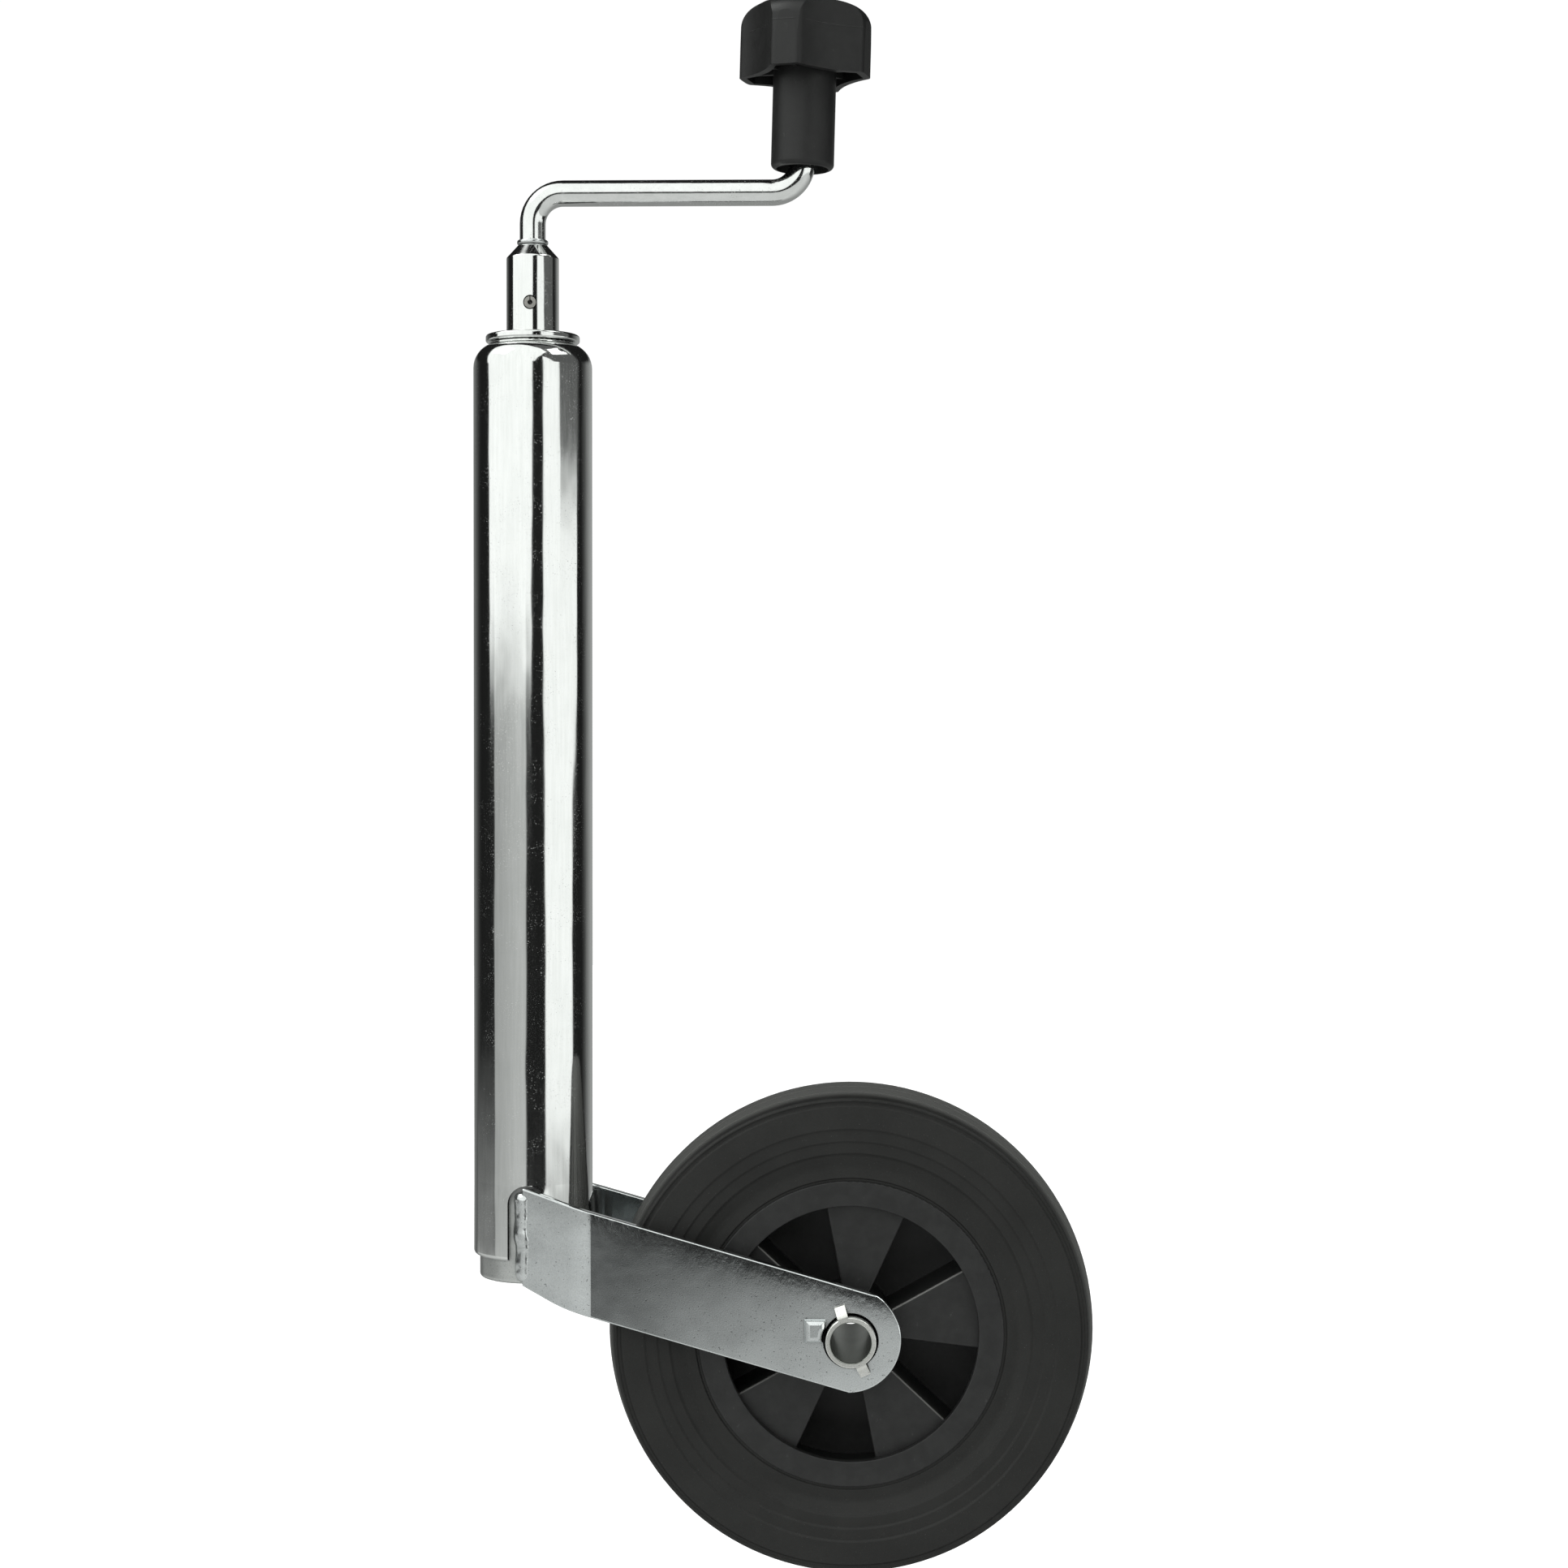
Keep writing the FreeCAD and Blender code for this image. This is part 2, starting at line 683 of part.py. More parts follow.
def fork_welds():
    """One upright bead on each side, on the leg and along the arm's cut end."""
    bead = box(WELD_LEFT, WELD_RIGHT, WELD_INNER, WELD_OUT, WELD_BOTTOM, WELD_TOP)
    bead = bead.makeFillet(WELD_ROUND, [
        edge for edge in bead.Edges
        if edge.BoundBox.YMin > LEG_R and edge.BoundBox.YLength < TINY
    ])
    leg = Part.makeCylinder(LEG_R, 2 * PLAIN_HALF, V(0, 0, LEG_BOTTOM), ALONG_Z)
    bead = bead.cut([leg, arm_plan()])
    bead = max(bead.Solids, key=lambda solid: solid.Volume)
    return Part.makeCompound([bead, mirrored(bead)])


def axle_tab():
    """Strip of the tube's end bent out over the arm, on the +Y side."""
    root = AXLE_R - AXLE_WALL
    foot = AXLE_HALF - TAB_THICK
    strip = flat([
        (root, foot, 0),
        (TAB_BEND_R - TAB_ROUND, foot, TAB_ROUND),
        (TAB_REACH - TAB_ROUND, foot - TAB_DROP, 0),
        (TAB_REACH, AXLE_HALF - TAB_DROP, 0),
        (TAB_BEND_R, AXLE_HALF, TAB_ROUND + TAB_THICK),
        (root, AXLE_HALF, 0),
    ])
    tab = strip.extrude(V(0, TAB_WIDTH, 0))
    tab.translate(V(0, -TAB_WIDTH / 2, 0))
    tab.rotate(ORIGIN, ALONG_X, -90)
    return tab


def axle_tube():
    edge = AXLE_EDGE
    body = turned_about_y([
        (AXLE_R - AXLE_WALL, -AXLE_HALF, edge),
        (AXLE_R, -AXLE_HALF, edge),
        (AXLE_R, AXLE_HALF, edge),
        (AXLE_R - AXLE_WALL, AXLE_HALF, edge),
    ])
    tabs = []
    for angle in TAB_ANGLES:
        tab = axle_tab()
        tab.rotate(ORIGIN, ALONG_Y, -angle)
        tabs += [tab, mirrored(tab)]
    body = joined([body] + tabs)
    body.translate(V(AXLE_X, 0, AXLE_Z))
    return body


def wheel_sector(start, low, high):
    """Web panel from the hub to the rim, one castle step wide, between two planes."""
    step = 180 / PANEL_COUNT
    face = flat([
        (HUB_R - OVERLAP, low, 0),
        (RIM_BAND_R + OVERLAP, low, 0),
        (RIM_BAND_R + OVERLAP, high, 0),
        (HUB_R - OVERLAP, high, 0),
    ])
    panel = face.revolve(ORIGIN, ALONG_Z, step)
    if low > 0:
        panel = panel.makeFillet(PANEL_ROUND, [
            edge for edge in panel.Edges
            if edge.BoundBox.ZMin > high - TINY and edge.Curve.TypeId == "Part::GeomLine"
        ])
    panel.rotate(ORIGIN, ALONG_Z, start)
    return panel


def is_outer_corner(place):
    """Whether a wall's long edge is one that shows: front on the boundary, or back behind it."""
    on_boundary = abs(place.y) < TINY
    return on_boundary == (place.z > 0)


def wheel_rim():
    """Plastic wheel whose web steps from one side to the other, built about Z."""
    hub = turned([
        (HUB_BORE_R, -HUB_HALF, HUB_EDGE),
        (HUB_R, -HUB_HALF, HUB_EDGE),
        (HUB_R, HUB_HALF, HUB_EDGE),
        (HUB_BORE_R, HUB_HALF, HUB_EDGE),
    ])
    lip = RIM_HALF - RIM_LIP_THICK
    band = turned([
        (RIM_LIP_R, -RIM_HALF, RIM_EDGE),
        (RIM_R, -RIM_HALF, RIM_EDGE),
        (RIM_R, RIM_HALF, RIM_EDGE),
        (RIM_LIP_R, RIM_HALF, RIM_EDGE),
        (RIM_LIP_R, lip, RIM_EDGE),
        (RIM_BAND_R, lip, RIM_BAND_ROUND),
        (RIM_BAND_R, -lip, RIM_BAND_ROUND),
        (RIM_LIP_R, -lip, RIM_EDGE),
    ])
    pieces = [hub, band]
    step = 180 / PANEL_COUNT
    for i in range(PANEL_COUNT):
        start = PANEL_TURN + 2 * step * i - step / 2
        inner = PANEL_FACE - PANEL_THICK
        pieces.append(wheel_sector(start, inner, PANEL_FACE))
        pieces.append(wheel_sector(start + step, -PANEL_FACE, -inner))
        for boundary, lean in ((start, 1), (start + step, -1)):
            wall = box(
                HUB_R - OVERLAP,
                RIM_BAND_R + OVERLAP,
                min(0, lean * PANEL_THICK),
                max(0, lean * PANEL_THICK),
                -PANEL_FACE,
                PANEL_FACE,
            )
            wall = wall.makeFillet(PANEL_ROUND, [
                edge for edge in wall.Edges
                if edge.BoundBox.XLength > PANEL_FACE and is_outer_corner(edge.CenterOfMass)
            ])
            wall.rotate(ORIGIN, ALONG_Z, boundary)
            pieces.append(wall)
    return in_wheel_place(joined(pieces))


def in_wheel_place(shape):
    """Lay a shape built about Z along the axle, with its +Z side facing -Y."""
    placed = shape.copy()
    placed.rotate(ORIGIN, ALONG_X, 90)
    placed.translate(V(AXLE_X, 0, AXLE_Z))
    return placed


def tyre():
    """Solid rubber tyre: crowned ribbed tread, stepped sidewalls and a dished foot."""
    fall = (TYRE_R - TYRE_EDGE_R) / TREAD_HALF ** 2
    tread = []
    half = GROOVE_WIDTH / 2
    for y in reversed(TREAD_GROOVES):
        for offset, depth in ((half, 0), (half / 2, 1), (-half / 2, 1), (-half, 0)):
            at = y + offset
            tread.append((TYRE_R - fall * at ** 2 - depth * GROOVE_DEPTH, at, GROOVE_ROUND))
    other_side = [(r, -y, corner) for r, y, corner in reversed(TYRE_SIDE)]
    return in_wheel_place(turned(TYRE_SIDE + tread + other_side))


arm_left = fork_arm()

save("outer_tube", outer_tube())
save("bearing_seat", bearing_seat())
save("bearing_race_upper", ring(RACE_BORE_R, RACE_R, UPPER_RACE_Z, SEAT_Z, RACE_EDGE))
save("bearing_balls", bearing_balls())
save("bearing_cage", bearing_cage())
save("bearing_race_lower", ring(
    NECK_R, RACE_R, LOWER_RACE_Z, LOWER_RACE_Z + RACE_THICK, RACE_EDGE,
))
save("spindle", spindle())
save("spindle_collar", spindle_collar())
save("collar_pin", collar_pin())
save("spindle_stop_washer", ring(TAIL_R, STOP_R, STOP_TOP - STOP_THICK, STOP_TOP, STOP_EDGE))
save("spindle_stop_pin", pin(STOP_PIN_R, STOP_PIN_LENGTH, STOP_PIN_Z))
save("cap_washer", ring(NECK_R, CAP_R, CAP_Z, CAP_Z + CAP_THICK, CAP_EDGE))
save("crank_socket", crank_socket())
save("crank_spring_pin", crank_spring_pin())
save("crank_rod", crank_rod())
save("rod_weld", rod_weld())
save("grip", on_grip_axis(grip()))
save("grip_cap", on_grip_axis(grip_cap()))
save("grip_retainer", on_grip_axis(grip_retainer()))
save("inner_tube", inner_tube())
save("spindle_nut", spindle_nut())
save("fork_arm_left", arm_left)
save("fork_arm_right", mirrored(arm_left))
save("fork_welds", fork_welds())
save("axle_tube", axle_tube())
save("wheel_rim", wheel_rim())
save("wheel_tyre", tyre())
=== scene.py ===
import json
import math

import bmesh
import bpy
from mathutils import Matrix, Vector, noise


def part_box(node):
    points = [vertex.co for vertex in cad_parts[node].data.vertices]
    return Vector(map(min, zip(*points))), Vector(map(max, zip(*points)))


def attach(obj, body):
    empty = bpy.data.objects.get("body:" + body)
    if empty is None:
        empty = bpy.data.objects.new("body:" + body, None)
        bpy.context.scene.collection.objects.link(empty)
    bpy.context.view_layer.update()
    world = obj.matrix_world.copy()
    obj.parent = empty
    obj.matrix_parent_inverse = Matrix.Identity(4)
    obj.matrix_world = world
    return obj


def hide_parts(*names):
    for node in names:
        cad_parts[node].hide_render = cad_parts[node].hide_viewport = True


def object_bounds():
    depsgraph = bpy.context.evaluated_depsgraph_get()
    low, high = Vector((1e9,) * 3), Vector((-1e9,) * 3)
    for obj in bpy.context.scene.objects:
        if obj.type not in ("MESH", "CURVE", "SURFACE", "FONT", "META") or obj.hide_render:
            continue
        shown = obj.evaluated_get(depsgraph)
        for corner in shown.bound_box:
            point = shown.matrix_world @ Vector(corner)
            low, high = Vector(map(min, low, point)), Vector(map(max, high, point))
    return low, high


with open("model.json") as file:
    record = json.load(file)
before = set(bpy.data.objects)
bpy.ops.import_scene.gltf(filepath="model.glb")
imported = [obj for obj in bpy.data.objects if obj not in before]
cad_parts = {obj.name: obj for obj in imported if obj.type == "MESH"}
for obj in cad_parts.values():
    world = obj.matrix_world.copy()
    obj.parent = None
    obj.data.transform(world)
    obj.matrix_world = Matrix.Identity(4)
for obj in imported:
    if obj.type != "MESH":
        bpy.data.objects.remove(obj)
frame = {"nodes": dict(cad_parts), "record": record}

cad_low, cad_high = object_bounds()
NODES = frame["nodes"]

# lengths in millimetres and angles in radians, unless a name says otherwise
FORK_SLOPE = math.radians(16)
FORK_HALF_WIDTH = 20.0
SHEAR_RUN = 4.0
SHEAR_DROP = 0.20
AXLE_BORE_R = 8.1
PANEL_FACE_Y = (16.6, 17.6)
PANEL_OUTER_R = 50.5
TREAD_WEAR_SHEEN_FROM = 94.6
TREAD_WEAR_SHEEN_BY = 96.1
SEAM_LEAN = math.radians(1.5)
SEAM_DROP = 11.0
SEAM_HEIGHT = 0.10
CORNER_SHADE_REACH = 3.0

BEAD_X = -2.0
BEAD_REACH = 3.3
BEAD_PROUD = 1.3
BEAD_FOOT = 0.2
BEAD_TOP = 0.6
BEAD_ROUND_FOOT = 4.0
BEAD_ROUND_TOP = 3.0
BEAD_RIPPLE_PITCH = 5.3
BEAD_RIPPLE_DROOP = 4.5
BEAD_SWAY = 0.5
BEAD_ROWS = 150
BEAD_SIDES = 36

KEY_LEAN = math.radians(38)
KEY_TURN = math.radians(-42)
BACKDROP_STRENGTH = 1.02
FLOOR_RADIUS_M = 6.0
FLOOR_GAP_M = 0.0005
FLOOR_SIDES = 96
CAMERA_PLACE_M = (0.1274, -1.1635, 0.0230)
CAMERA_TILT = math.radians(90 - 0.635)
CAMERA_TURN = math.radians(1.2585)
CAMERA_LENS = 65.94


def middle(node):
    """The centre of a CAD node's box, in metres."""
    low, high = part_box(node)
    return (low + high) / 2


# ---------------------------------------------------------------- shader helpers

class Graph:
    """Short names for the nodes of one material or world."""

    def __init__(self, tree):
        self.tree = tree

    def node(self, kind, **settings):
        made = self.tree.nodes.new(kind)
        for key, value in settings.items():
            setattr(made, key, value)
        return made

    def plug(self, socket, value):
        if isinstance(value, bpy.types.NodeSocket):
            self.tree.links.new(value, socket)
        else:
            socket.default_value = value

    def math(self, operation, a, b=0.0, c=0.0, clamp=False):
        made = self.node("ShaderNodeMath", operation=operation, use_clamp=clamp)
        for socket, value in zip(made.inputs, (a, b, c)):
            self.plug(socket, value)
        return made.outputs[0]

    def add(self, a, b):
        return self.math("ADD", a, b)

    def sub(self, a, b):
        return self.math("SUBTRACT", a, b)

    def mul(self, a, *others):
        for b in others:
            a = self.math("MULTIPLY", a, b)
        return a

    def low(self, a, b):
        return self.math("MINIMUM", a, b)

    def high(self, a, b):
        return self.math("MAXIMUM", a, b)

    def ramp(self, value, start, end, low=0.0, high=1.0, smooth=True):
        """Value mapped from start..end to low..high, held beyond both."""
        made = self.node("ShaderNodeMapRange")
        made.interpolation_type = "SMOOTHSTEP" if smooth else "LINEAR"
        made.clamp = True
        for socket, given in zip(made.inputs, (value, start, end, low, high)):
            self.plug(socket, given)
        return made.outputs[0]

    def band(self, value, start, end, soft):
        """1 between start and end, with soft edges."""
        rise = self.ramp(value, self.sub(start, soft), self.add(start, soft))
        fall = self.ramp(value, self.sub(end, soft), self.add(end, soft), 1.0, 0.0)
        return self.mul(rise, fall)

    def dot(self, vector, other):
        made = self.node("ShaderNodeVectorMath", operation="DOT_PRODUCT")
        self.plug(made.inputs[0], vector)
        made.inputs[1].default_value = other
        return made.outputs["Value"]

    def mix(self, share, a, b, blend="MIX"):
        made = self.node("ShaderNodeMix", data_type="RGBA", blend_type=blend)
        self.plug(made.inputs[0], share)
        self.plug(made.inputs[6], a)
        self.plug(made.inputs[7], b)
        return made.outputs[2]

    def place(self, stretch=(1, 1, 1), shift=(0, 0, 0)):
        """Object coordinates in millimetres, stretched along each axis."""
        coords = self.node("ShaderNodeTexCoord").outputs["Object"]
        made = self.node("ShaderNodeMapping")
        self.plug(made.inputs["Vector"], coords)
        made.inputs["Scale"].default_value = [1000 * s for s in stretch]
        made.inputs["Location"].default_value = shift
        return made.outputs[0]

    def noise(self, where, size, detail=2.0, rough=0.5, distort=0.0):
        """Noise from 0 to 1 with features of about this many millimetres."""
        made = self.node("ShaderNodeTexNoise")
        self.plug(made.inputs["Vector"], where)
        made.inputs["Scale"].default_value = 1 / size
        made.inputs["Detail"].default_value = detail
        made.inputs["Roughness"].default_value = rough
        made.inputs["Distortion"].default_value = distort
        return made.outputs["Fac"]

    def painted_corner_shade(self, reach_mm):
        """1 in the open, and 0 deep in a corner; used to paint shade into corners."""
        made = self.node("ShaderNodeAmbientOcclusion", samples=8)
        made.inputs["Distance"].default_value = reach_mm / 1000
        return self.ramp(made.outputs["AO"], 0.30, 0.85)

    def off_axis(self, centre):
        """Distance in millimetres from a line along Y through a point given in metres."""
        flat = self.node("ShaderNodeVectorMath", operation="MULTIPLY_ADD")
        self.plug(flat.inputs[0], self.place())
        flat.inputs[1].default_value = (1, 0, 1)
        flat.inputs[2].default_value = (-1000 * centre.x, 0, -1000 * centre.z)
        made = self.node("ShaderNodeVectorMath", operation="LENGTH")
        self.plug(made.inputs[0], flat.outputs[0])
        return made.outputs["Value"]

    def bump(self, height, depth_mm=1.0):
        """Bump from a height of 0 to 1 that stands for depth_mm."""
        made = self.node("ShaderNodeBump")
        made.inputs["Strength"].default_value = 1.0
        made.inputs["Distance"].default_value = depth_mm / 1000
        self.plug(made.inputs["Height"], height)
        return made.outputs[0]


def shade(grey, tint=(1, 1, 1)):
    return (grey * tint[0], grey * tint[1], grey * tint[2], 1)


def surface(name, metallic=0.0, **constants):
    """A new material with one Principled shader. Constants are set on its sockets."""
    made = bpy.data.materials.new(name)
    made.use_nodes = True
    graph = Graph(made.node_tree)
    made.node_tree.nodes.clear()
    shader = graph.node("ShaderNodeBsdfPrincipled")
    output = graph.node("ShaderNodeOutputMaterial")
    graph.plug(output.inputs["Surface"], shader.outputs[0])
    shader.inputs["Metallic"].default_value = metallic
    for key, value in constants.items():
        shader.inputs[key.replace("_", " ")].default_value = value
    return made, graph, shader


# ---------------------------------------------------------------- materials

def bright_zinc(name, pits=1.0, wave=1.0, lengthways=(1, 1, 0.05), rough=0.075):
    """Smooth drawn zinc plate: long streaks, a slight wave, and small pits."""
    made, g, shader = surface(name, 1.0)
    streaks = g.noise(g.place(lengthways), 1.1, 3.0)
    patches = g.noise(g.place(), 14.0, 3.0, 0.6)
    specks = g.ramp(g.noise(g.place(), 0.42, 1.0), 0.66, 0.74)
    where = g.ramp(g.noise(g.place(shift=(40, 7, 3)), 9.0, 2.0), 0.40, 0.68)
    marks = g.mul(specks, g.add(g.mul(where, 0.8), 0.2), pits)
    light = g.ramp(g.add(g.mul(streaks, 0.6), g.mul(patches, 0.4)), 0.3, 0.7, 0.0, 1.0)
    base = g.mix(light, shade(0.86, (0.985, 1.0, 0.985)), shade(0.94, (0.99, 1.0, 0.99)))
    base = g.mix(g.mul(marks, 0.35), base, shade(0.45))
    g.plug(shader.inputs["Base Color"], base)
    gloss = g.add(g.mul(streaks, 0.05), rough - 0.02)
    g.plug(shader.inputs["Roughness"], g.add(gloss, g.mul(marks, 0.35)))
    slow = g.noise(g.place((1, 1, 0.25), (3, 8, 1)), 7.0, 1.0)
    height = g.sub(slow, g.mul(marks, 0.05))
    g.plug(shader.inputs["Normal"], g.bump(height, 0.10 * wave))
    return made


def grain_zinc(name, grey, rough, grain, tint, rolled=None, bore=None):
    """Zinc plate over hot-rolled steel: fine grain, dark pin holes, rubbed patches and painted shade
    in corners.

    rolled gives the surface's own fall in millimetres, such as a sheared edge's, and
    bore marks where the colour turns darker and greener, from 0 to 1.
    """
    made, g, shader = surface(name, 1.0)
    fine = g.noise(g.place(), 0.5, 2.0, 0.6)
    patches = g.noise(g.place((0.6, 1, 1)), 16.0, 3.0, 0.6)
    holes = g.ramp(g.noise(g.place(shift=(5, 9, 2)), 0.8, 1.0), 0.69, 0.75)
    light = g.ramp(g.add(g.mul(fine, 0.45), g.mul(patches, 0.55)), 0.33, 0.67)
    base = g.mix(light, shade(grey * 0.84, tint), shade(grey * 1.12, tint))
    base = g.mix(g.mul(holes, 0.6), base, shade(0.10))
    # painted shade: the base colour darkens in corners and creases, where shade falls
    base = g.mix(g.painted_corner_shade(CORNER_SHADE_REACH), shade(grey * 0.22), base)
    if bore:
        base = g.mix(bore(g), base, shade(0.30, (0.93, 1.0, 0.90)))
    g.plug(shader.inputs["Base Color"], base)
    g.plug(shader.inputs["Roughness"], g.add(g.mul(patches, 0.08), rough - 0.04))
    height = g.mul(g.sub(fine, g.mul(holes, 0.8)), 0.035 * grain)
    if rolled:
        height = g.sub(height, rolled(g))
    g.plug(shader.inputs["Normal"], g.bump(height))
    return made


def axle_bore(g):
    """Where the colour inside the axle tube turns darker and greener."""
    return g.ramp(g.off_axis(middle("wheel_rim")), AXLE_BORE_R, AXLE_BORE_R + 0.5, 1.0, 0.0)


def sheared_edge(g):
    """Fall of the fork arms' faces towards their sheared top edge."""
    across = (math.sin(FORK_SLOPE), 0, math.cos(FORK_SLOPE))
    axle = middle("wheel_rim") * 1000
    inside = g.sub(FORK_HALF_WIDTH + axle.dot(across), g.dot(g.place(), across))
    ragged = g.mul(g.noise(g.place((1, 0.2, 0.6), (1, 4, 6)), 3.0, 3.0, 0.6), 3.0)
    far = g.math("DIVIDE", g.add(inside, ragged), SHEAR_RUN)
    return g.mul(g.math("EXPONENT", g.mul(far, -1.0)), SHEAR_DROP)


def black_plastic(name, grey, rough, scuffs, texture, seam=None, painted_edge_highlight=None):
    """Moulded black plastic: faint mottling, spark texture and fine pale scuffs.

    seam marks the mould's parting line and rubbed the edges given a painted highlight, from 0 to 1.
    """
    made, g, shader = surface(name)
    mottle = g.noise(g.place(), 6.0, 3.0, 0.6)
    lines = g.noise(g.place((1.0, 0.12, 0.5), (2, 1, 5)), 1.4, 2.0, 0.6)
    scratch = g.mul(g.ramp(lines, 0.66, 0.72), g.ramp(mottle, 0.48, 0.62), scuffs)
    specks = g.mul(g.ramp(g.noise(g.place(shift=(9, 4, 1)), 0.35), 0.76, 0.80), scuffs)
    marks = g.high(g.mul(scratch, 0.10), g.mul(specks, 0.20))
    base = g.mix(g.ramp(mottle, 0.3, 0.7), shade(grey * 0.85), shade(grey * 1.2))
    base = g.mix(marks, base, shade(0.20, (0.98, 1.0, 0.97)))
    # painted highlight: the panel edges that face up are lighter, as if caught by light from above
    if painted_edge_highlight:
        base = g.mix(painted_edge_highlight(g), base, shade(0.17, (1.0, 0.99, 0.95)))
    g.plug(shader.inputs["Base Color"], base)
    g.plug(shader.inputs["Roughness"], g.add(g.mul(mottle, 0.14), rough - 0.07))
    height = g.mul(g.noise(g.place(), 0.30, 2.0), texture)
    if seam:
        height = g.add(height, g.mul(seam(g), SEAM_HEIGHT))
    g.plug(shader.inputs["Normal"], g.bump(height))
    return made


def panel_edge_highlight(g):
    """A painted highlight on the rounded edges of the wheel's web panels, where they face up."""
    y = g.math("ABSOLUTE", g.dot(g.place(), (0, 1, 0)))
    normal = g.node("ShaderNodeTexCoord").outputs["Normal"]
    facing_up = g.ramp(g.dot(normal, (0, 0, 1)), 0.08, 0.45)
    radius = g.off_axis(middle("wheel_rim"))
    inside = g.ramp(radius, PANEL_OUTER_R, PANEL_OUTER_R + 1.0, 1.0, 0.0)
    return g.mul(g.band(y, *PANEL_FACE_Y, 0.1), facing_up, inside)


def grip_seam(g):
    """The parting line round the grip's head, worn away in places."""
    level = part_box("grip")[1].z * 1000 - SEAM_DROP
    axis = (math.sin(SEAM_LEAN), 0, math.cos(SEAM_LEAN))
    offset = middle("grip").x * 1000 * math.sin(SEAM_LEAN)
    above = g.math("ABSOLUTE", g.sub(g.dot(g.place(), axis), level + offset))
    line = g.ramp(above, 0.10, 0.28, 1.0, 0.0)
    return g.mul(line, g.ramp(g.noise(g.place(), 7.0, 2.0), 0.38, 0.55))


def rubber(name):
    """Cured tyre rubber: grey bloom, mould dust, tiny specks, and a paler tread that is partly wear
    and partly painted sheen.
    """
    made, g, shader = surface(name, Specular_IOR_Level=0.35)
    bloom = g.noise(g.place(), 22.0, 4.0, 0.65)
    fine = g.noise(g.place(), 0.6, 3.0, 0.7)
    specks = g.ramp(g.noise(g.place(shift=(2, 5, 8)), 0.5, 1.0), 0.74, 0.79)
    light = g.ramp(g.add(g.mul(bloom, 0.6), g.mul(fine, 0.4)), 0.35, 0.65)
    base = g.mix(light, shade(0.0165, (1.0, 1.0, 0.95)), shade(0.024, (1.0, 1.0, 0.95)))
    base = g.mix(g.mul(specks, 0.22), base, shade(0.25))
    # paler tread: partly worn grey rubber, partly a painted sheen standing for the key light's
    # highlight on the tread
    tread_wear_and_sheen = g.ramp(g.off_axis(middle("wheel_rim")), TREAD_WEAR_SHEEN_FROM, TREAD_WEAR_SHEEN_BY)
    base = g.mix(g.mul(tread_wear_and_sheen, 0.75), base, shade(0.15, (1.0, 1.0, 0.96)))
    g.plug(shader.inputs["Base Color"], base)
    g.plug(shader.inputs["Roughness"], g.add(g.mul(bloom, 0.15), 0.50))
    g.plug(shader.inputs["Normal"], g.bump(g.add(fine, g.mul(specks, 0.6)), 0.04))
    return made


def machined(name, base, rough, tint=(1, 1, 1)):
    """Plain turned or ground metal: fine tool lines and patches of oil."""
    made, g, shader = surface(name, 1.0)
    rings = g.noise(g.place((0.08, 0.08, 1.0)), 0.35, 2.0)
    oil = g.noise(g.place(), 5.0, 3.0, 0.6)
    light = g.add(g.mul(rings, 0.35), g.mul(oil, 0.65))
    g.plug(shader.inputs["Base Color"], g.mix(
        g.ramp(light, 0.3, 0.7), shade(base * 0.8, tint), shade(base * 1.1, tint)))
    g.plug(shader.inputs["Roughness"], g.add(g.mul(oil, 0.18), rough - 0.09))
    g.plug(shader.inputs["Normal"], g.bump(rings, 0.02))
    return made


MATERIALS = {
    "bright_zinc": bright_zinc("bright_zinc"),
    "rod_zinc": bright_zinc("rod_zinc", pits=1.6, wave=1.2, lengthways=(0.3, 1, 0.3), rough=0.11),
    "dull_zinc": grain_zinc("dull_zinc", 0.72, 0.30, 0.3, (0.98, 1.0, 0.98)),
    "fork_zinc": grain_zinc("fork_zinc", 0.80, 0.11, 0.11, (0.965, 1.0, 1.005), rolled=sheared_edge),
    "weld_zinc": grain_zinc("weld_zinc", 0.82, 0.22, 0.25, (0.97, 1.0, 1.0)),
    "axle_zinc": grain_zinc("axle_zinc", 0.92, 0.30, 0.3, (1.0, 1.0, 0.96), bore=axle_bore),
    "plain_steel": machined("plain_steel", 0.50, 0.35),
    "bearing_steel": machined("bearing_steel", 0.62, 0.20),
    "cage_steel": machined("cage_steel", 0.55, 0.30, (1.0, 0.86, 0.6)),
    "spring_steel": machined("spring_steel", 0.42, 0.38, (1.0, 0.98, 0.92)),
    "nut_brass": machined("nut_brass", 0.70, 0.32, (1.0, 0.78, 0.42)),
    "grip_plastic": black_plastic("grip_plastic", 0.012, 0.46, 0.8, 0.03, seam=grip_seam),
    "rim_plastic": black_plastic("rim_plastic", 0.020, 0.42, 1.0, 0.03, painted_edge_highlight=panel_edge_highlight),
    "tyre_rubber": rubber("tyre_rubber"),
}

SLOT_OF = {
    "outer_tube": "bright_zinc",
    "cap_washer": "bright_zinc",
    "crank_socket": "bright_zinc",
    "crank_rod": "rod_zinc",
    "inner_tube": "dull_zinc",
    "fork_arm_left": "fork_zinc",
    "fork_arm_right": "fork_zinc",
    "rod_weld": "weld_zinc",
    "fork_welds": "weld_zinc",
    "axle_tube": "axle_zinc",
    "bearing_seat": "plain_steel",
    "spindle": "plain_steel",
    "spindle_collar": "plain_steel",
    "spindle_stop_washer": "plain_steel",
    "bearing_race_upper": "bearing_steel",
    "bearing_race_lower": "bearing_steel",
    "bearing_balls": "bearing_steel",
    "bearing_cage": "cage_steel",
    "collar_pin": "spring_steel",
    "spindle_stop_pin": "spring_steel",
    "crank_spring_pin": "spring_steel",
    "grip_retainer": "spring_steel",
    "spindle_nut": "nut_brass",
    "grip": "grip_plastic",
    "grip_cap": "grip_plastic",
    "wheel_rim": "rim_plastic",
    "wheel_tyre": "tyre_rubber",
}
for node, slot in SLOT_OF.items():
    for place in NODES[node].material_slots:
        place.material = MATERIALS[slot]


# ---------------------------------------------------------------- pieces built here

